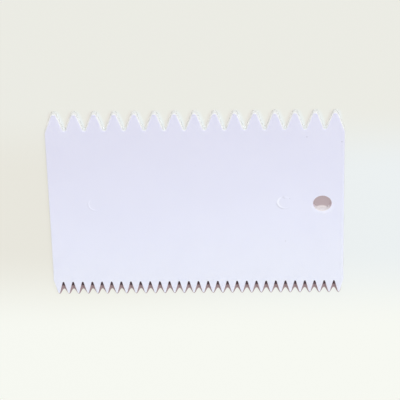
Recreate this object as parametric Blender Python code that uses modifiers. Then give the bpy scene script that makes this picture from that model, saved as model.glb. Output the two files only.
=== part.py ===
"""Cake comb: one moulded plate with coarse teeth along one long edge and fine teeth along the other.

Run it with: blender --background --python part.py
Lengths are in metres and +Z is up. The comb lies on its back. X runs along its length, with the
hanging hole near the +X end, and the coarse teeth point along +Y.
"""

import math

import bmesh
import bpy

# Plate
plate_length = 0.110
plate_height = 0.080
plate_thickness = 0.0025
face_rounding = 0.00025
rounding_steps = 2

# Coarse teeth
coarse_pitch = 0.0073
coarse_depth = 0.0070
coarse_tip_radius = 0.0011
coarse_root_radius = 0.0006
coarse_corner_radius = 0.004

# Fine teeth
fine_pitch = 0.00365
fine_depth = 0.0052
fine_tip_radius = 0.00035
fine_root_radius = 0.0003
fine_corner_radius = 0.002

# Hanging hole
hole_diameter = 0.0070
hole_from_end = 0.0083
hole_rounding = 0.0004
hole_rounding_turn = math.radians(60)
hole_rounding_steps = 2
hole_sides = 40

# Round marks that the ejector pins leave on the face
mark_diameter = 0.0058
mark_depth = 0.0001
marks_apart = 0.070
marks_middle = -0.0024
mark_sides = 32

# The hole and the marks share one line along the plate.
feature_line = 0.0006

# Steps in each round stretch of the outline
coarse_tip_steps = 6
fine_tip_steps = 4
root_steps = 4
corner_steps = 3

# Margins
weld_distance = 0.000001
cutter_margin = 0.001

# An edge that turns more than this is a rim or a crease
rim_angle = math.radians(45)
smooth_angle = math.radians(30)

plastic_colour = (0.80, 0.79, 0.90, 1.0)
plastic_roughness = 0.38


def clear_scene():
    """Remove everything that the scene holds at the start."""
    for old in list(bpy.data.objects):
        bpy.data.objects.remove(old, do_unlink=True)


def new_collection(name):
    collection = bpy.data.collections.new(name)
    bpy.context.scene.collection.children.link(collection)
    return collection


def white_plastic():
    """Satin white plastic with a cool tint."""
    material = bpy.data.materials.new("white_plastic")
    material.use_nodes = True
    shader = material.node_tree.nodes["Principled BSDF"]
    shader.inputs["Base Color"].default_value = plastic_colour
    shader.inputs["Roughness"].default_value = plastic_roughness
    shader.inputs["Metallic"].default_value = 0.0
    return material


def arc(centre, radius, start, end, steps):
    """Points on a circle from the angle start to the angle end, both included."""
    points = []
    for step in range(steps + 1):
        angle = start + (end - start) * step / steps
        points.append((centre[0] + radius * math.cos(angle), centre[1] + radius * math.sin(angle)))
    return points


def flank_angle(pitch, depth, tip_radius, root_radius):
    """Angle from the vertical of the straight line that touches a tip circle and the root circle beside it."""
    radii = tip_radius + root_radius
    across = pitch / 2
    down = depth - radii
    return math.acos(radii / math.hypot(across, down)) - math.atan2(down, across)


def tooth_count(nominal_pitch):
    """The number of teeth near the nominal pitch that just fill the length."""
    return max(1, round(plate_length / nominal_pitch))


def tooth_row(nominal_pitch, depth, tip_radius, root_radius, corner_radius, tip_steps):
    """The upper edge of the plate from its +X side to its -X side, as a row of teeth that fills the length."""
    count = tooth_count(nominal_pitch)
    pitch = plate_length / count
    angle = flank_angle(pitch, depth, tip_radius, root_radius)
    tip_line = plate_height / 2
    root_centre_line = tip_line - depth + root_radius
    half = plate_length / 2

    # The corner touches the side of the plate and the line of the outer flank.
    foot = (half - root_radius * math.cos(angle), root_centre_line - root_radius * math.sin(angle))
    meeting = foot[1] - (half - foot[0]) / math.tan(angle)
    corner_centre = (half - corner_radius, meeting - corner_radius * math.tan(angle / 2))
    corner = arc(corner_centre, corner_radius, 0.0, angle, corner_steps)

    points = list(corner)
    for tooth in range(count):
        tip_centre = (half - pitch * (tooth + 0.5), tip_line - tip_radius)
        points += arc(tip_centre, tip_radius, angle, math.pi - angle, tip_steps)
        if tooth < count - 1:
            root_centre = (half - pitch * (tooth + 1), root_centre_line)
            points += arc(root_centre, root_radius, -angle, angle - math.pi, root_steps)
    points += [(-x, y) for x, y in reversed(corner)]
    return points


def half_turned(points):
    """The same points turned half round the middle of the plate."""
    return [(-x, -y) for x, y in points]


def plate_outline():
    """The whole outline, anticlockwise: the coarse teeth above and the fine teeth below."""
    coarse = tooth_row(
        coarse_pitch,
        coarse_depth,
        coarse_tip_radius,
        coarse_root_radius,
        coarse_corner_radius,
        coarse_tip_steps,
    )
    fine = tooth_row(
        fine_pitch,
        fine_depth,
        fine_tip_radius,
        fine_root_radius,
        fine_corner_radius,
        fine_tip_steps,
    )
    return coarse + half_turned(fine)


def flat_curve(name, points):
    """A flat filled curve as thick as the plate, standing on the ground plane."""
    curve = bpy.data.curves.new(name, "CURVE")
    curve.dimensions = "2D"
    curve.fill_mode = "BOTH"
    curve.extrude = plate_thickness / 2
    spline = curve.splines.new("POLY")
    spline.points.add(len(points) - 1)
    for point, (x, y) in zip(spline.points, points):
        point.co = (x, y, 0.0, 1.0)
    spline.use_cyclic_u = True
    outline = bpy.data.objects.new(name, curve)
    outline.location.z = plate_thickness / 2
    return outline


def notch_lines(nominal_pitch):
    """The places along the plate of the notches between the teeth of one row."""
    count = tooth_count(nominal_pitch)
    return [plate_length * (notch / count - 0.5) for notch in range(1, count)]


def cut_along(shape, faces, place, across):
    """Cut these faces where they meet the plane through place that across is square to."""
    edges = {edge for face in faces for edge in face.edges}
    verts = {vert for face in faces for vert in face.verts}
    bmesh.ops.bisect_plane(
        shape,
        geom=list(verts) + list(edges) + list(faces),
        dist=weld_distance,
        plane_co=place,
        plane_no=across,
    )


def split_at_notches(shape):
    """Halve the faces between the two rows, and cut each half into strips that run from notch to notch."""
    cut_along(shape, list(shape.faces), (0.0, 0.0, 0.0), (0.0, 1.0, 0.0))
    for side, nominal_pitch in ((1, coarse_pitch), (-1, fine_pitch)):
        for line in notch_lines(nominal_pitch):
            half = [face for face in shape.faces if side * face.calc_center_median().y > 0]
            cut_along(shape, half, (line, 0.0, 0.0), (1.0, 0.0, 0.0))


def mark_front_rim(shape):
    """Give the edges round the front face the weight that rounds them."""
    weights = shape.edges.layers.float.new("bevel_weight_edge")
    for edge in shape.edges:
        in_front = all(vert.co.z > plate_thickness / 2 - weld_distance for vert in edge.verts)
        if in_front and edge.calc_face_angle(0.0) > rim_angle:
            edge[weights] = 1.0


def mesh_from_curve(outline, collection):
    """Make the flat curve a closed mesh with one face on each side, and remove the curve."""
    bpy.context.scene.collection.objects.link(outline)
    bpy.context.view_layer.update()
    graph = bpy.context.evaluated_depsgraph_get()
    mesh = bpy.data.meshes.new_from_object(outline.evaluated_get(graph))
    place = outline.matrix_world.copy()
    name = outline.name
    bpy.data.objects.remove(outline, do_unlink=True)

    shape = bmesh.new()
    shape.from_mesh(mesh)
    bmesh.ops.remove_doubles(shape, verts=shape.verts, dist=weld_distance)
    for side in (1, -1):
        level = side * plate_thickness / 2
        filling = [face for face in shape.faces if all(abs(v.co.z - level) < weld_distance for v in face.verts)]
        bmesh.ops.dissolve_faces(shape, faces=filling)
    split_at_notches(shape)
    bmesh.ops.recalc_face_normals(shape, faces=shape.faces)
    mark_front_rim(shape)
    shape.to_mesh(mesh)
    shape.free()

    plate = bpy.data.objects.new(name, mesh)
    plate.matrix_world = place
    collection.objects.link(plate)
    return plate


def hole_cutter(collection):
    """A turned spool that cuts the hole and rounds its rim on both faces."""
    radius = hole_diameter / 2
    middle = plate_thickness / 2
    centre = (radius + hole_rounding, middle - hole_rounding)
    upper = arc(centre, hole_rounding, math.pi, math.pi - hole_rounding_turn, hole_rounding_steps)
    # The last slope runs on past the face, so that the rim is cut cleanly.
    last_out, last_up = upper[-1]
    slope = (centre[0] - last_out) / (middle - last_up)
    top = middle + cutter_margin
    upper.append((last_out + slope * (top - last_up), top))
    upper.append((0.0, top))
    profile = list(reversed(upper)) + [(out, -up) for out, up in upper]

    mesh = bpy.data.meshes.new("hole_cutter")
    edges = [(index, index + 1) for index in range(len(profile) - 1)]
    mesh.from_pydata([(out, 0.0, up) for out, up in profile], edges, [])
    cutter = bpy.data.objects.new("hole_cutter", mesh)
    cutter.location = (plate_length / 2 - hole_from_end, feature_line, middle)
    screw = cutter.modifiers.new("Turn", "SCREW")
    screw.axis = "Z"
    screw.steps = hole_sides
    screw.render_steps = hole_sides
    screw.use_merge_vertices = True
    screw.merge_threshold = weld_distance
    hide_cutter(cutter, collection)
    return cutter


def mark_cutter(number, x, collection):
    """A short cylinder that sinks one ejector-pin mark into the face."""
    height = cutter_margin + mark_depth
    bpy.ops.mesh.primitive_cylinder_add(
        vertices=mark_sides,
        radius=mark_diameter / 2,
        depth=height,
        location=(x, feature_line, plate_thickness - mark_depth + height / 2),
    )
    cutter = bpy.context.object
    cutter.name = f"mark_cutter_{number}"
    for holder in list(cutter.users_collection):
        holder.objects.unlink(cutter)
    hide_cutter(cutter, collection)
    return cutter


def hide_cutter(cutter, collection):
    collection.objects.link(cutter)
    cutter.hide_render = True
    cutter.display_type = "WIRE"


def cut(plate, cutter):
    """Take the cutter's shape out of the plate."""
    boolean = plate.modifiers.new(cutter.name, "BOOLEAN")
    boolean.operation = "DIFFERENCE"
    boolean.solver = "EXACT"
    boolean.object = cutter


def round_front_rim(plate):
    """Round the edge round the front face. The back keeps the sharp edge of the mould's parting line."""
    bevel = plate.modifiers.new("Rounded rim", "BEVEL")
    bevel.limit_method = "WEIGHT"
    bevel.width = face_rounding
    bevel.segments = rounding_steps
    bevel.use_clamp_overlap = False


def comb_plate(parts, cutters):
    """The whole comb: plate, both rows of teeth, rounded rims, hanging hole and ejector-pin marks."""
    plate = mesh_from_curve(flat_curve("comb_plate", plate_outline()), parts)
    round_front_rim(plate)
    cut(plate, hole_cutter(cutters))
    for number, side in enumerate((-1, 1), start=1):
        place = marks_middle + side * marks_apart / 2
        cut(plate, mark_cutter(number, place, cutters))
    plate.data.materials.append(white_plastic())
    plate.data.shade_smooth()
    plate.data.set_sharp_from_angle(angle=smooth_angle)
    return plate


def main():
    clear_scene()
    parts = new_collection("cake_comb")
    cutters = new_collection("cutters")
    comb_plate(parts, cutters)


main()
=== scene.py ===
"""A cake comb lying on a pale floor: one satin white moulded plate with coarse and fine teeth.

Lengths here are in millimetres, and MM turns them into metres where Blender takes them. +Z is up,
X runs along the comb towards its hanging hole, and +Y points to the coarse teeth.
"""

import math

import bpy
import numpy as np
from mathutils import Matrix, Vector
from mathutils.geometry import delaunay_2d_cdt


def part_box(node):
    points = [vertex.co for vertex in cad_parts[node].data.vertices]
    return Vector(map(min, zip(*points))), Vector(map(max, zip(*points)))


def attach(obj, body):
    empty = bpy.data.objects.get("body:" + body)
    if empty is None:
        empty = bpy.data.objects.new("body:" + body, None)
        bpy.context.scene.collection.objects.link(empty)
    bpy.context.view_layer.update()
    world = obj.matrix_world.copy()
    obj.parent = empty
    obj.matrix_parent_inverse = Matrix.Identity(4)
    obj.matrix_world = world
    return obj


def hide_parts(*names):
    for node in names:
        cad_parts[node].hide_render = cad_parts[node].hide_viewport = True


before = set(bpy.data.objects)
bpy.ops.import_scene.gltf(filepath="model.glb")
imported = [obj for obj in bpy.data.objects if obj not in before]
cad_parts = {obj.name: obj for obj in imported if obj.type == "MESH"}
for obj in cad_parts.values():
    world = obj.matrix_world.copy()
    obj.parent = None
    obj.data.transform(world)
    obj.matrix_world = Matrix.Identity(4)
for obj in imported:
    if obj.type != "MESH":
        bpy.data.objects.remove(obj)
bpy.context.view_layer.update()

MM = 0.001

# Plate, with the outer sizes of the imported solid
low, high = (np.array(corner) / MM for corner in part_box("comb_plate"))
plate_length, plate_height, thickness = high - low
half_length = plate_length / 2
tip_line = plate_height / 2

# Teeth: count, depth, radius of the tips and of the notches, radius at the side
coarse_row = dict(count=15, depth=7.0, tip=1.1, root=0.6, corner=4.0)
fine_row = dict(count=30, depth=5.2, tip=0.35, root=0.3, corner=2.0)
coarse_pitch = plate_length / coarse_row["count"]
fine_pitch = plate_length / fine_row["count"]

# Points in each stretch of the outline, and how far apart they stand on the plate's sides
tip_points = 15
root_points = 9
flank_points = 8
corner_points = 9
side_step = 1.0

# Rounded edges. The front one grows from the fine to the coarse rounding over a band of Y.
coarse_rounding = 0.6
fine_rounding = 0.24
back_rounding = 0.01
rounding_changes = (-36.0, -29.0)
flat_margin = 0.08
front_steps = 8
back_steps = 3

# Hanging hole
hole_centre = (46.8, 0.35)
hole_radius = 3.43
hole_rounding = 0.15
hole_sides = 120

# Marks that the ejector pins leave on the face
left_mark = (-37.35, 0.75)
right_mark = (32.75, 1.05)
mark_radius = 2.6
mark_depth = 0.015
mark_blur = 0.15
lip_width = 0.27

# Rings of points round a mark, by how far they stand from its radius: inside, across the lip, outside
rings_inside = (-1.9, -1.1, -0.7)
lip_reach = 0.5
lip_step = 0.1
rings_outside = (0.7, 1.0)
ring_sides = 96

# The arcs of each mark's lip: angle of the middle, spread, height
marks = (
    (left_mark, ((200.0, 66.0, 0.05),)),
    (right_mark, ((190.0, 75.0, 0.06), (62.0, 14.0, 0.03), (98.0, 8.0, -0.05), (38.0, 5.0, -0.05))),
)

# Painted highlights and shade on each mark's arcs: angle of the middle, spread, radius, reach, tone
mark_highlight_and_shades = (
    (left_mark, ((196.0, 76.0, 2.67, 0.34, 0.07), (222.0, 40.0, 2.67, 0.32, 0.05),
                 (262.0, 30.0, 2.67, 0.3, 0.03), (215.0, 60.0, 3.2, 0.4, -0.04))),
    (right_mark, ((186.0, 90.0, 2.45, 0.50, 0.13), (62.0, 30.0, 2.4, 0.45, 0.05),
                  (278.0, 40.0, 2.55, 0.25, 0.035), (225.0, 50.0, 2.97, 0.42, -0.13),
                  (275.0, 40.0, 2.95, 0.35, -0.03), (104.0, 14.0, 2.3, 0.45, -0.10),
                  (92.0, 16.0, 1.75, 0.4, -0.08), (40.0, 8.0, 2.42, 0.24, -0.17))),
)

# Small grey specks in the face: place and tone
specks = (
    (41.0, 29.7, -0.22),
    (53.8, 27.5, -0.28),
    (33.1, -16.5, -0.16),
    (48.8, -21.8, -0.04),
    (0.0, 17.4, -0.04),
)
speck_radius = 0.36
speck_level = 2.45

# The part of an arc's spread, of its reach and of a speck's radius where its tone is full
arc_core = 1 / 3
reach_core = 1 / 4
speck_core = 1 / 3

# Points in the faces. The grid keeps clear of the hole, the marks and the rim by shares of its step.
grid_step = 1.25
clear_of_discs = 0.4
clear_of_rim = 0.5
points_at_once = 2000
join_distance = 1e-7

# Sink of the front face, and its waves: length along X, length along Y, start
face_sink = 0.08
wave_height = 0.012
face_waves = ((9.0, 23.0, 0.0), (-31.0, 7.0, 1.0))

# Colours of the plastic, most with painted light and shade in them
# The face's own cool white, painted darker at the coarse teeth than at the fine ones
face_shaded_at_coarse = (0.740, 0.745, 0.850)
face_lit_at_fine = (0.805, 0.832, 0.943)
# Painted light: the walls' foot, paler where shade falls next to the floor
foot_lit_colour = (0.98, 0.975, 0.96)
wall_colour = (0.79, 0.805, 0.80)
# Painted light on the coarse teeth's flanks and, a little less, on their tips
flank_lit_colour = (0.86, 0.875, 0.865)
tip_lit_colour = (0.83, 0.835, 0.82)
# Painted light and shade on the hole's wall: lit towards the fine teeth, greyer and pinker at its sides
hole_wall_lit_colour = (1.0, 0.96, 0.95)
hole_side_shaded_colour = (0.80, 0.71, 0.75)

# Painted shade on the face: where it darkens along Y towards the coarse teeth, and how that place slants
# along X
face_shade_change = (42.0, -42.0)
face_shade_slant = 0.12

# Heights between which the walls lose the foot's painted light, and then turn into the face
foot_light_heights = (0.3, 1.9)
rim_heights = (2.3, 2.39)

# Where the walls turn into the coarse teeth's flanks along Y, and these into the tips, both painted paler
# than the plain wall
lit_flank_change = (33.5, 34.5)
lit_tip_change = (38.3, 39.2)

# The hole's wall, painted lit towards the fine teeth and shaded at its sides: how far past the hole's radius
# these colours start, and where they change along Y
hole_wall_reach = (1.0, 0.3)
hole_wall_change = (-0.8, -2.2)

# Tone of the plastic: random clouds, painted shade on the tips, and a painted highlight beside the hole,
# towards the fine teeth
plain_tone = 0.985
cloud_tone = 0.03
cloud_size = 22.0
# Painted shade on the coarse tips
tip_shade = -0.06
tip_shade_change = (38.6, 39.6)
# Painted highlight below the hole
hole_highlight_tone = 0.04
hole_highlight_reach = (1.7, 0.4)
hole_highlight_change = (1.0, -2.0)

# Sheen and grain of the plastic
sheen_size = 6.0
sheen_noise = (0.3, 0.7)
sheen_roughness = (0.36, 0.44)
grain_size = 0.35
grain_detail = 3.0
grain_depth = 0.2
grain_strength = 0.05

# Floor, from its middle to its sides, and the gap under the comb
floor_reach = 6000.0
floor_gap = 0.02

# Colours of the floor, most of them painted light and shade
floor_shaded_left = (0.795, 0.783, 0.708)
floor_lit_right = (0.82, 0.86, 0.86)
floor_lit_front = (0.916, 0.933, 0.872)
floor_back = (0.816, 0.8185, 0.757)
# Painted reflection right of each coarse tooth, painted shadow left of it
floor_reflection_side = (0.832, 0.878, 0.875)
floor_shadow_side = (0.778, 0.752, 0.692)
# Painted shadow under the comb and in the fine notches, and a painted pool of light below the hole
floor_shade_under = (0.50, 0.42, 0.43)
floor_notch_shade = (0.41, 0.30, 0.31)
floor_deep_shade = (0.11, 0.07, 0.085)
floor_hole_shade = (0.486, 0.398, 0.414)
floor_lit = (0.80, 0.74, 0.74)
black = (0.0, 0.0, 0.0)

# Where the open floor's painted light changes: from the shaded left to the lit right, to the back and to the
# lit front
across_change = (-60.0, 70.0)
back_change = (12.0, 42.0)
front_change = (-20.0, -60.0)

# The share of the floor's colour that is evenly bright, in the open and beside the coarse teeth
floor_glow = 0.8
side_glow = 0.97

# Painted shadow and painted reflection on the floor beside the coarse teeth: reach from a flank, bands of Y
# where they start, where they end and where their colour ends, and how softly the left half turns into the
# right half
side_reach = 1.6
side_start = (10.0, 20.0)
side_end = (42.0, 39.5)
shadow_and_reflection_end = (41.0, 38.0)
half_blur = 0.3

# Painted shadow on the floor under the comb: its sides, its back end, the wave of its front end, its darkest
# strip, the part seen between the fine teeth, and two discs below the hole: painted shade, and a painted pool
# of light
under_sides = (54.5, 53.0)
under_end = (30.0, 15.0)
wave_middle = -40.75
wave_reach = 1.2
wave_blur = 0.25
deep_front = (-38.4, -37.7)
deep_back = (-34.0, -36.0)
notch_change = (-20.0, -30.0)
hole_floor_centre = (46.7, -1.2)
hole_floor_radius = 6.5
lit_centre = (46.6, -6.1)
lit_radius = 4.0
disc_blur = 0.4

# Lamps: name, direction from the comb, distance, width, watts, colour
lamps = (
    ("key_lamp", (0.4, 0.8, 1.0), 1500.0, 300.0, 5.5, (0.91, 1.0, 1.07)),
    ("back_lamp", (0.1, 1.3, 0.8), 1500.0, 800.0, 3.6, (0.92, 1.0, 1.06)),
    ("top_lamp", (0.1, -0.6, 1.2), 500.0, 350.0, 0.12, (0.96, 0.99, 1.05)),
)
studio_colour = (1.02, 0.98, 0.985)
studio_strength = 0.745

# Camera, fitted to the photograph
camera_tilt = math.radians(33.79)
camera_lean = math.radians(-1.07)
camera_turn = math.radians(1.22)
camera_aside = (1.28, 0.57)
camera_distance = 969.0
camera_range = (10.0, 50000.0)
lens = 234.0
sensor_width = 36.0


def circle_points(centre, radius, start, end, count):
    """Points centre + radius (cos a, sin a) for count angles a, evenly from start to end."""
    a = np.linspace(start, end, count)
    return centre + radius * np.stack([np.cos(a), np.sin(a)], axis=1)


def line_points(start, end, count):
    """Points start + t (end - start) for count even shares t between 0 and 1, both ends left out."""
    t = (np.arange(count) + 1)[:, None] / (count + 1)
    return start + t * (end - start)


def flank_lean(pitch, depth, tip, root):
    """Angle from a tooth's middle line to its flank.

    A flank touches the tip's circle and the notch's circle, whose centres lie half a pitch and
    depth - tip - root apart, so it leans by acos((tip + root) / distance) - atan(drop / half pitch).
    """
    drop = depth - tip - root
    distance = math.hypot(pitch / 2, drop)
    return math.acos((tip + root) / distance) - math.atan2(drop, pitch / 2)


def tooth_row(count, depth, tip, root, corner):
    """The upper edge of the plate from its +X side to its -X side.

    One tooth, from notch to notch, is repeated at count even places along the plate. The half
    notches at both ends of the row are left out.
    """
    pitch = plate_length / count
    angle = flank_lean(pitch, depth, tip, root)
    root_line = tip_line - depth + root

    tip_arc = circle_points((0.0, tip_line - tip), tip, angle, math.pi - angle, tip_points)
    notch = circle_points((pitch / 2, root_line), root, math.pi * 1.5, math.pi + angle, root_points)
    flank = line_points(notch[-1], tip_arc[0], flank_points)
    rising = np.concatenate([notch, flank])
    falling = (rising * [-1, 1])[::-1]
    tooth = np.concatenate([rising, tip_arc, falling[:-1]])
    places = half_length - pitch * (np.arange(count) + 0.5)
    row = tooth[None] + np.stack([places, np.zeros(count)], axis=1)[:, None]
    row = row.reshape(-1, 2)[root_points:-(root_points - 1)]

    # The corner touches the side of the plate and the line of the outer flank.
    foot = rising[root_points - 1] + [places[0], 0.0]
    meeting = foot[1] - (half_length - foot[0]) / math.tan(angle)
    centre = (half_length - corner, meeting - corner * math.tan(angle / 2))
    bend = circle_points(centre, corner, 0.0, angle, corner_points)
    return np.concatenate([bend, row, (bend * [-1, 1])[::-1]])


def plate_outline():
    """The closed outline, anticlockwise: coarse teeth, -X side, fine teeth, +X side."""
    upper = tooth_row(**coarse_row)
    lower = -tooth_row(**fine_row)
    sides = []
    for start, end in ((upper[-1], lower[0]), (lower[-1], upper[0])):
        count = int(np.linalg.norm(end - start) / side_step)
        sides.append(line_points(start, end, count))
    return np.concatenate([upper, sides[0], lower, sides[1]])


def outward(outline):
    """Unit normals of a closed outline: the chord from the point before to the point after, turned right."""
    chord = np.roll(outline, -1, axis=0) - np.roll(outline, 1, axis=0)
    normal = np.stack([chord[:, 1], -chord[:, 0]], axis=1)
    return normal / np.linalg.norm(normal, axis=1, keepdims=True)


def smooth_step(low_end, high_end, x):
    """t t (3 - 2 t), where t goes from 0 at low_end to 1 at high_end."""
    t = np.clip((x - low_end) / (high_end - low_end), 0, 1)
    return t * t * (3 - 2 * t)


def edge_profile(front, back):
    """Rows (inset, height) of the edge from the back face's rim round to the front face's rim.

    Each rim is a quarter circle: its inset is r (1 - cos a) and its height r (1 - sin a) from the face.
    A flat margin leads on to the face. front is an array, one radius for each point of the outline.
    """
    rows = [(back + flat_margin + 0 * front, 0 * front)]
    for a in np.linspace(math.pi / 2, 0, back_steps + 1):
        rows.append((back * (1 - math.cos(a)) + 0 * front, back * (1 - math.sin(a)) + 0 * front))
    for a in np.linspace(0, math.pi / 2, front_steps + 1):
        rows.append((front * (1 - math.cos(a)), thickness - front * (1 - math.sin(a))))
    rows.append((front + flat_margin, thickness + 0 * front))
    return np.array(rows)


def swept_edge(outline, normal, profile):
    """The surface outline - inset normal at each row's height: rows x points, as one grid."""
    inset, height = profile[:, 0], profile[:, 1]
    flat = outline[None] - inset[:, :, None] * normal[None]
    return np.concatenate([flat, height[:, :, None]], axis=2)


def grid_faces(rows, columns, start):
    """Quads of a rows x columns grid whose columns close in a ring, numbered from start."""
    row, column = np.meshgrid(np.arange(rows - 1), np.arange(columns), indexing="ij")
    after = (column + 1) % columns
    quads = np.stack([row * columns + column, row * columns + after,
                      (row + 1) * columns + after, (row + 1) * columns + column], axis=-1)
    return quads.reshape(-1, 4) + start


def arc_share(angle, middle, spread):
    """exp(-(d / spread)^2), where d is how far the angle lies from the middle, the short way round."""
    away = np.abs((angle - middle + 180) % 360 - 180)
    return np.exp(-((away / spread) ** 2))


def mark_height(points):
    """Height of the marks over the face: a disc sunk a little, inside a lip that stands up over arcs.

    The lip's height over the distance r from the middle is lip exp(-((r - mark_radius) / lip_width)^2).
    """
    total = np.zeros(len(points))
    for centre, arcs in marks:
        x, y = (points - centre).T
        from_centre = np.hypot(x, y)
        angle = np.degrees(np.arctan2(y, x))
        inside = 1 - smooth_step(mark_radius - mark_blur, mark_radius + mark_blur, from_centre)
        ring = np.exp(-(((from_centre - mark_radius) / lip_width) ** 2))
        lip = sum(height * arc_share(angle, middle, spread) for middle, spread, height in arcs)
        total += ring * lip - mark_depth * inside
    return total


def face_height(points):
    """Height of the front face over its rim, which is 0 or less: a shallow sink with long low waves.

    It is wave_height (mean - 1) - face_sink, where mean is the mean over the waves of
    sin(x / length along X + y / length along Y + start). That is then multiplied by the square root
    of (1 - (x / half length)^2) (1 - (y / half height)^2), so that it ends at the rim.
    """
    x, y = points.T
    middle = (1 - (x / half_length) ** 2) * (1 - (y / tip_line) ** 2)
    waves = [np.sin(x / along + y / across + start) for along, across, start in face_waves]
    mean = sum(waves) / len(waves)
    return np.sqrt(np.clip(middle, 0, 1)) * (wave_height * (mean - 1) - face_sink)


def inner_points(rings, rim, discs):
    """Points on a square grid over the plate, kept clear of the rim and the discs, and the rings' points."""
    x = np.arange(-half_length, half_length, grid_step)
    y = np.arange(-tip_line, tip_line, grid_step)
    grid = np.stack(np.meshgrid(x, y), axis=-1).reshape(-1, 2) + grid_step / 2
    keep = np.ones(len(grid), bool)
    for centre, radius in discs:
        keep &= np.hypot(*(grid - centre).T) > radius + grid_step * clear_of_discs
    for start in range(0, len(grid), points_at_once):
        part = slice(start, start + points_at_once)
        gaps = np.linalg.norm(grid[part, None] - rim[None], axis=2).min(axis=1)
        keep[part] &= gaps > grid_step * clear_of_rim
    return np.concatenate([grid[keep]] + rings)


def mark_rings():
    """Circles of points round both marks, close together across the lip, where the height changes."""
    across_lip = np.arange(-lip_reach, lip_reach + lip_step / 2, lip_step)
    radii = mark_radius + np.array([*rings_inside, *across_lip, *rings_outside])
    turns = np.linspace(0, 2 * math.pi, ring_sides, endpoint=False)
    circle = np.stack([np.cos(turns), np.sin(turns)], axis=1)
    return [centre + radius * circle for centre, _ in marks for radius in radii]


def fill_face(rim, hole_rim, inner):
    """Triangles that fill the rim and leave the hole open.

    The triangulation is Delaunay's, held to the edges of the rim and of the hole. A triangle whose
    three corners all stand on the hole's rim lies in the hole, and is left out.
    """
    points = np.concatenate([rim, hole_rim, inner])
    n, m = len(rim), len(hole_rim)
    edges = []
    for loop in (np.arange(n), n + np.arange(m)):
        edges += np.stack([loop, np.roll(loop, -1)], axis=1).tolist()
    inside_only = 1
    _, _, triangles, came_from, _, _ = delaunay_2d_cdt(
        [Vector(point) for point in points.tolist()], edges, [], inside_only, join_distance)
    source = np.array([old[0] for old in came_from])
    triangles = source[np.array([tuple(triangle) for triangle in triangles])]
    in_hole = ((triangles >= n) & (triangles < n + m)).all(axis=1)
    return triangles[~in_hole]


def plate_edge():
    """The plate's outer edge, as a grid of rows x points."""
    outline = plate_outline()
    share = smooth_step(*rounding_changes, outline[:, 1])
    front = fine_rounding + (coarse_rounding - fine_rounding) * share
    return swept_edge(outline, outward(outline), edge_profile(front, back_rounding))


def hole_edge():
    """The hole's edge, as a grid of rows x points. It faces its own middle, so it runs clockwise."""
    turns = -np.linspace(0, 2 * math.pi, hole_sides, endpoint=False)
    circle = np.stack([np.cos(turns), np.sin(turns)], axis=1)
    profile = edge_profile(np.full(hole_sides, hole_rounding), back_rounding)
    return swept_edge(hole_centre + hole_radius * circle, -circle, profile)


def comb_mesh():
    """The whole comb: the outer edge, the hole's edge, and two filled faces that share their rims."""
    edge = plate_edge()
    hole = hole_edge()
    rows, n = edge.shape[:2]
    m = hole_sides
    hole_start = rows * n
    verts = np.concatenate([edge.reshape(-1, 3), hole.reshape(-1, 3)])
    quads = np.concatenate([grid_faces(rows, n, 0), grid_faces(rows, m, hole_start)])

    discs = [(hole_centre, hole_radius + hole_rounding)]
    discs += [(centre, mark_radius + rings_outside[-1]) for centre, _ in marks]
    inner = inner_points(mark_rings(), edge[-1, :, :2], discs)
    plain = inner_points([], edge[0, :, :2], [(hole_centre, hole_radius + back_rounding)])
    faces = []
    for row, points, height, flip in ((rows - 1, inner, thickness, False), (0, plain, 0.0, True)):
        triangles = fill_face(edge[row, :, :2], hole[row, :, :2], points)
        number = np.concatenate([row * n + np.arange(n), hole_start + row * m + np.arange(m),
                                 len(verts) + np.arange(len(points))])
        verts = np.concatenate([verts, np.column_stack([points, np.full(len(points), height)])])
        triangles = number[triangles]
        faces.append(triangles[:, ::-1] if flip else triangles)

    # The marks and the sink fade out towards the back, which stays flat.
    flat = verts[:, :2]
    verts[:, 2] += (verts[:, 2] / thickness) ** 2 * (mark_height(flat) + face_height(flat))

    # Grid points outside the rim are in no triangle, and are left out.
    used = np.unique(np.concatenate([quads.ravel()] + [triangles.ravel() for triangles in faces]))
    renumber = np.zeros(len(verts), int)
    renumber[used] = np.arange(len(used))
    mesh = bpy.data.meshes.new("moulded_comb")
    all_faces = renumber[quads].tolist() + renumber[np.concatenate(faces)].tolist()
    mesh.from_pydata((verts[used] * MM).tolist(), [], all_faces)
    mesh.validate()
    mesh.shade_smooth()
    return mesh


class Value:
    """A number that varies over a surface. Sums, differences, products and ratios of it add Math nodes."""

    def __init__(self, recipe, socket):
        self.recipe = recipe
        self.socket = socket

    def joined(self, operation, first, second):
        return self.recipe.node("ShaderNodeMath", {"operation": operation}, {0: first, 1: second})

    def __add__(self, other):
        return self.joined("ADD", self, other)

    def __sub__(self, other):
        return self.joined("SUBTRACT", self, other)

    def __rsub__(self, other):
        return self.joined("SUBTRACT", other, self)

    def __mul__(self, other):
        return self.joined("MULTIPLY", self, other)

    def __truediv__(self, other):
        return self.joined("DIVIDE", self, other)

    __radd__ = __add__
    __rmul__ = __mul__


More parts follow.
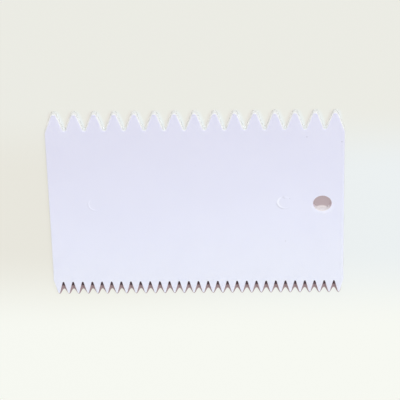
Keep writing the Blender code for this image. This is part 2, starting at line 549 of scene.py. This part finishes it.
class Recipe:
    """One material's nodes, round a single Principled shader."""

    def __init__(self, name, fixed):
        self.material = bpy.data.materials.new(name)
        self.material.use_nodes = True
        self.tree = self.material.node_tree
        self.shader = self.tree.nodes["Principled BSDF"]
        for socket, value in fixed.items():
            self.shader.inputs[socket].default_value = value

    def put(self, socket, value):
        """Link a value to a socket, or store a plain one in it."""
        if isinstance(value, Value):
            self.tree.links.new(value.socket, socket)
        else:
            socket.default_value = value

    def node(self, kind, settings=None, inputs=None, output=0):
        """A node of this kind with its settings and then its sockets filled; its output as a value."""
        made = self.tree.nodes.new(kind)
        for key, value in (settings or {}).items():
            setattr(made, key, value)
        for key, value in (inputs or {}).items():
            self.put(made.inputs[key], value)
        return Value(self, made.outputs[output])

    def place(self):
        """The point on the object, in metres."""
        return self.node("ShaderNodeTexCoord", output="Object")

    def apart(self, place, axes):
        """How far a place lies along each of these axes, in metres."""
        return [self.node("ShaderNodeSeparateXYZ", None, {0: place}, axis) for axis in axes]

    def result(self, operation, x):
        """What a Math node makes of one number, such as its SINE or its ABSOLUTE value."""
        return self.node("ShaderNodeMath", {"operation": operation}, {0: x})

    def distance(self, x, y, centre):
        """How far x and y lie from a centre given in millimetres, in metres."""
        across = x - centre[0] * MM
        along = y - centre[1] * MM
        return self.result("SQRT", across * across + along * along)

    def noise(self, place, size, detail=2.0):
        """Soft noise between 0 and 1 whose patches are about size millimetres across."""
        inputs = {"Vector": place, "Scale": 1 / (size * MM), "Detail": detail}
        return self.node("ShaderNodeTexNoise", None, inputs)

    def between(self, x, ends, values=(0.0, 1.0)):
        """The first value up to the first end, the second from the second end on, and smooth between."""
        inputs = {"Value": x, "From Min": ends[0], "From Max": ends[1],
                  "To Min": values[0], "To Max": values[1]}
        return self.node("ShaderNodeMapRange", {"interpolation_type": "SMOOTHSTEP"}, inputs)

    def ramp(self, x, ends, values=(0.0, 1.0)):
        """The same as between, for a length in metres whose ends are given in millimetres."""
        return self.between(x, [end * MM for end in ends], values)

    def mix(self, share, first, second):
        """A colour from first, where share is 0, to second, where it is 1."""
        inputs = {"Factor": share, "A": first, "B": second}
        return self.node("ShaderNodeMix", {"data_type": "RGBA"}, inputs, "Result")


def rgba(colour):
    """The colour as a node's socket takes it, with full opacity."""
    return (*colour, 1.0)


def mark_highlight_and_shade(recipe, x, y):
    """Painted highlights and painted shade on the marks: paler arcs where the lip faces the light, darker
    arcs in its shade along the lip's foot.

    At the distance r from a mark's middle the tone is full where r is near the arc's radius, and 0 at
    its reach from there. Along the arc it falls off as the cosine of the angle from its middle drops.
    """
    total = 0.0
    for centre, tones in mark_highlight_and_shades:
        across = x - centre[0] * MM
        along = y - centre[1] * MM
        distance = recipe.distance(x, y, centre)
        for angle, spread, radius, reach, tone in tones:
            turn = math.radians(angle)
            toward = (across * math.cos(turn) + along * math.sin(turn)) / distance
            ends = [math.cos(math.radians(spread * part)) for part in (1, arc_core)]
            away = recipe.result("ABSOLUTE", distance - radius * MM)
            ring = recipe.ramp(away, (reach, reach * reach_core))
            total = total + ring * recipe.between(toward, ends) * tone
    return total


def speck_tone(recipe, place):
    """How much darker the specks are than the plastic round them: a soft dot at each place."""
    total = 0.0
    for x, y, tone in specks:
        centre = (x * MM, y * MM, speck_level * MM)
        away = recipe.node("ShaderNodeVectorMath", {"operation": "DISTANCE"}, {0: place, 1: centre}, "Value")
        total = total + recipe.ramp(away, (speck_radius, speck_radius * speck_core)) * tone
    return total


def wall_light_and_shade(recipe, y, height, from_hole):
    """The colour of the walls: painted light at the foot and on the coarse teeth's flanks and tips, painted
    light and shade in the hole.
    """
    wall = recipe.mix(recipe.ramp(y, lit_flank_change), rgba(wall_colour), rgba(flank_lit_colour))
    wall = recipe.mix(recipe.ramp(height, foot_light_heights), rgba(foot_lit_colour), wall)
    wall = recipe.mix(recipe.ramp(y, lit_tip_change), wall, rgba(tip_lit_colour))
    # Painted light on the hole's wall towards the fine teeth, painted shade at its sides
    hole_wall = recipe.mix(recipe.ramp(y, hole_wall_change), rgba(hole_side_shaded_colour), rgba(hole_wall_lit_colour))
    in_hole = recipe.ramp(from_hole, [hole_radius + reach for reach in hole_wall_reach])
    return recipe.mix(in_hole, wall, hole_wall)


def white_plastic():
    """Satin white plastic: cool faces, faint flow clouds, a fine grain and a few specks, with painted light
    and shade on the face, walls, tips, marks and hole.
    """
    recipe = Recipe("white_plastic", {
        "Specular IOR Level": 0.45,
        "IOR": 1.49,
        "Subsurface Weight": 0.8,
        "Subsurface Radius": (1.0, 1.0, 1.0),
        "Subsurface Scale": 0.5 * MM,
    })
    place = recipe.place()
    x, y, height = recipe.apart(place, "XYZ")
    from_hole = recipe.distance(x, y, hole_centre)

    # Painted shade: the face darkens towards the coarse teeth
    lit_toward_fine = recipe.ramp(y - x * face_shade_slant, face_shade_change)
    face = recipe.mix(lit_toward_fine, rgba(face_shaded_at_coarse), rgba(face_lit_at_fine))
    wall = wall_light_and_shade(recipe, y, height, from_hole)
    colour = recipe.mix(recipe.ramp(height, rim_heights), wall, face)

    tone = plain_tone + recipe.noise(place, cloud_size) * cloud_tone
    tone = tone + mark_highlight_and_shade(recipe, x, y) + speck_tone(recipe, place)
    # Painted shade on the coarse tips
    tone = tone + recipe.ramp(y, tip_shade_change, (0.0, tip_shade))
    # Painted highlight below the hole, towards the fine teeth
    hole_highlight = recipe.ramp(from_hole, [hole_radius + reach for reach in hole_highlight_reach])
    tone = tone + hole_highlight * recipe.ramp(y, hole_highlight_change, (0.0, hole_highlight_tone))
    colour = recipe.node("ShaderNodeVectorMath", {"operation": "SCALE"}, {0: colour, "Scale": tone})
    recipe.put(recipe.shader.inputs["Base Color"], colour)

    sheen = recipe.between(recipe.noise(place, sheen_size), sheen_noise, sheen_roughness)
    recipe.put(recipe.shader.inputs["Roughness"], sheen)
    grain = recipe.noise(place, grain_size, grain_detail)
    inputs = {"Strength": grain_strength, "Distance": grain_depth * MM, "Height": grain}
    recipe.put(recipe.shader.inputs["Normal"], recipe.node("ShaderNodeBump", None, inputs, "Normal"))
    return recipe.material


def side_shadow_and_reflection(recipe, x, y):
    """Share and colour of the painted shadow and reflection beside each coarse tooth: a warm, darker shadow
    left, a paler reflection right.

    One tooth stands at X = 0, as their count is odd, so the nearest tooth's middle line is
    pitch / (2 pi) acos(cos(2 pi x / pitch)) away. From there the tooth reaches
    tip cos(lean) + (top - y) tan(lean), where top is where its flank leaves its tip.
    """
    tip = coarse_row["tip"]
    lean = flank_lean(coarse_pitch, coarse_row["depth"], tip, coarse_row["root"])
    top = tip_line - tip * (1 - math.sin(lean))
    turn_length = coarse_pitch * MM / (2 * math.pi)
    turn = x * (1 / turn_length)
    from_middle = recipe.result("ARCCOSINE", recipe.result("COSINE", turn)) * turn_length
    reach = tip * math.cos(lean) * MM + (top * MM - y) * math.tan(lean)
    near = recipe.ramp((from_middle - reach) * math.cos(lean), (side_reach, 0.0))
    right = recipe.between(recipe.result("SINE", turn), (-half_blur, half_blur))
    # Painted shadow left of each tooth, painted reflection right of it
    shadow_and_reflection = recipe.mix(right, rgba(floor_shadow_side), rgba(floor_reflection_side))
    return near * recipe.ramp(y, side_start) * recipe.ramp(y, side_end), shadow_and_reflection


def disc(recipe, x, y, centre, radius):
    """1 inside a disc on the floor and 0 outside it, with a soft edge."""
    return recipe.ramp(recipe.distance(x, y, centre), (radius + disc_blur, radius - disc_blur))


def floor_shadow_and_pool(recipe, x, y):
    """Share and colour of the painted shadow on the floor under the comb, with the share of it that lies
    below the hole, where a painted pool of light also lies.

    The dark part ends in a wave that follows the fine teeth, middle + reach cos(2 pi x / pitch).
    """
    wave = recipe.result("COSINE", x * (2 * math.pi / (fine_pitch * MM))) * (wave_reach * MM)
    past = y - wave - wave_middle * MM
    under = recipe.ramp(past, (-wave_blur, wave_blur)) * recipe.ramp(y, under_end)

    # Painted shadow: darker under the comb, darkest in a strip by the fine notches, and under the hole
    shade = recipe.mix(recipe.ramp(y, notch_change), rgba(floor_shade_under), rgba(floor_notch_shade))
    deep = recipe.ramp(y, deep_front) * recipe.ramp(y, deep_back)
    shade = recipe.mix(deep, shade, rgba(floor_deep_shade))
    below_hole = disc(recipe, x, y, hole_floor_centre, hole_floor_radius)
    shade = recipe.mix(below_hole, shade, rgba(floor_hole_shade))
    # Painted pool of light through the hole
    shade = recipe.mix(disc(recipe, x, y, lit_centre, lit_radius), shade, rgba(floor_lit))
    return under, shade, below_hole


def pale_floor():
    """Plain pale matt floor, painted warmer and darker left and lighter in front, with painted shadows,
    reflections and a pool of light round and under the comb.

    The camera and mirrorings see a share of its colour as evenly bright, so that the comb's shadow
    stays as light as on a plain studio backdrop. Under the comb only the part below the hole is so.
    """
    recipe = Recipe("pale_floor", {"Roughness": 0.7, "Specular IOR Level": 0.2, "Emission Strength": 1.0})
    x, y = recipe.apart(recipe.place(), "XY")
    # Painted light on the open floor: warmer and darker left, cooler right, lighter in front
    colour = recipe.mix(recipe.ramp(x, across_change), rgba(floor_shaded_left), rgba(floor_lit_right))
    colour = recipe.mix(recipe.ramp(y, back_change), colour, rgba(floor_back))
    colour = recipe.mix(recipe.ramp(y, front_change), colour, rgba(floor_lit_front))

    between_sides = recipe.ramp(recipe.result("ABSOLUTE", x), under_sides)
    beside, shadow_and_reflection = side_shadow_and_reflection(recipe, x, y)
    beside = between_sides * beside
    colour = recipe.mix(beside * recipe.ramp(y, shadow_and_reflection_end), colour, shadow_and_reflection)
    under, shade, below_hole = floor_shadow_and_pool(recipe, x, y)
    under = between_sides * under
    colour = recipe.mix(under, colour, shade)

    camera_ray = recipe.node("ShaderNodeLightPath", output="Is Camera Ray")
    glossy_ray = recipe.node("ShaderNodeLightPath", output="Is Glossy Ray")
    glow = floor_glow + beside * (side_glow - floor_glow)
    seen = (camera_ray + glossy_ray) * (1 - under * (1 - below_hole)) * glow
    recipe.put(recipe.shader.inputs["Emission Color"], recipe.mix(seen, rgba(black), colour))
    recipe.put(recipe.shader.inputs["Base Color"], recipe.mix(seen, colour, rgba(black)))
    return recipe.material


def comb():
    """The comb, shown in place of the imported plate."""
    mesh = comb_mesh()
    piece = bpy.data.objects.new("moulded_comb", mesh)
    bpy.context.scene.collection.objects.link(piece)
    mesh.materials.append(white_plastic())
    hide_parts("comb_plate")
    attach(piece, "root")


def floor():
    """A wide square floor, a hair's breadth below the comb."""
    half = floor_reach * MM
    level = -floor_gap * MM
    corners = [(-half, -half, level), (half, -half, level), (half, half, level), (-half, half, level)]
    mesh = bpy.data.meshes.new("floor")
    mesh.from_pydata(corners, [], [(0, 1, 2, 3)])
    mesh.materials.append(pale_floor())
    ground = bpy.data.objects.new("floor", mesh)
    bpy.context.scene.collection.objects.link(ground)


def soft_lamp(name, toward, distance, width, watts, colour):
    """A square area lamp that shines at the comb from the direction toward."""
    data = bpy.data.lights.new(name, "AREA")
    data.color = colour
    data.size = width * MM
    data.energy = watts
    lamp = bpy.data.objects.new(name, data)
    direction = Vector(toward).normalized()
    lamp.location = direction * distance * MM
    lamp.rotation_mode = "QUATERNION"
    lamp.rotation_quaternion = direction.to_track_quat("Z", "Y")
    bpy.context.scene.collection.objects.link(lamp)


def lights():
    """The soft lamps, and an even pale studio round them."""
    for lamp in lamps:
        soft_lamp(*lamp)
    world = bpy.data.worlds.new("studio")
    world.use_nodes = True
    background = world.node_tree.nodes["Background"]
    background.inputs["Color"].default_value = rgba(studio_colour)
    background.inputs["Strength"].default_value = studio_strength
    bpy.context.scene.world = world


def camera():
    """The camera that sees the comb as the photograph does.

    The comb's points, turned by tilt about X after lean about Y after turn about Z, are seen from
    camera_distance along the turned Z, so the camera has the inverse of that turn.
    """
    turned = (Matrix.Rotation(camera_tilt, 3, "X") @ Matrix.Rotation(camera_lean, 3, "Y")
              @ Matrix.Rotation(camera_turn, 3, "Z"))
    back = turned.transposed()
    data = bpy.data.cameras.new("camera")
    data.lens = lens
    data.sensor_width = sensor_width
    data.clip_start, data.clip_end = (end * MM for end in camera_range)
    seen_from = bpy.data.objects.new("camera", data)
    seen_from.matrix_world = back.to_4x4()
    seen_from.location = back @ Vector((*camera_aside, camera_distance)) * MM
    bpy.context.scene.collection.objects.link(seen_from)
    bpy.context.scene.camera = seen_from


comb()
floor()
lights()
camera()
bpy.context.scene.view_settings.view_transform = "Standard"
bpy.context.view_layer.update()
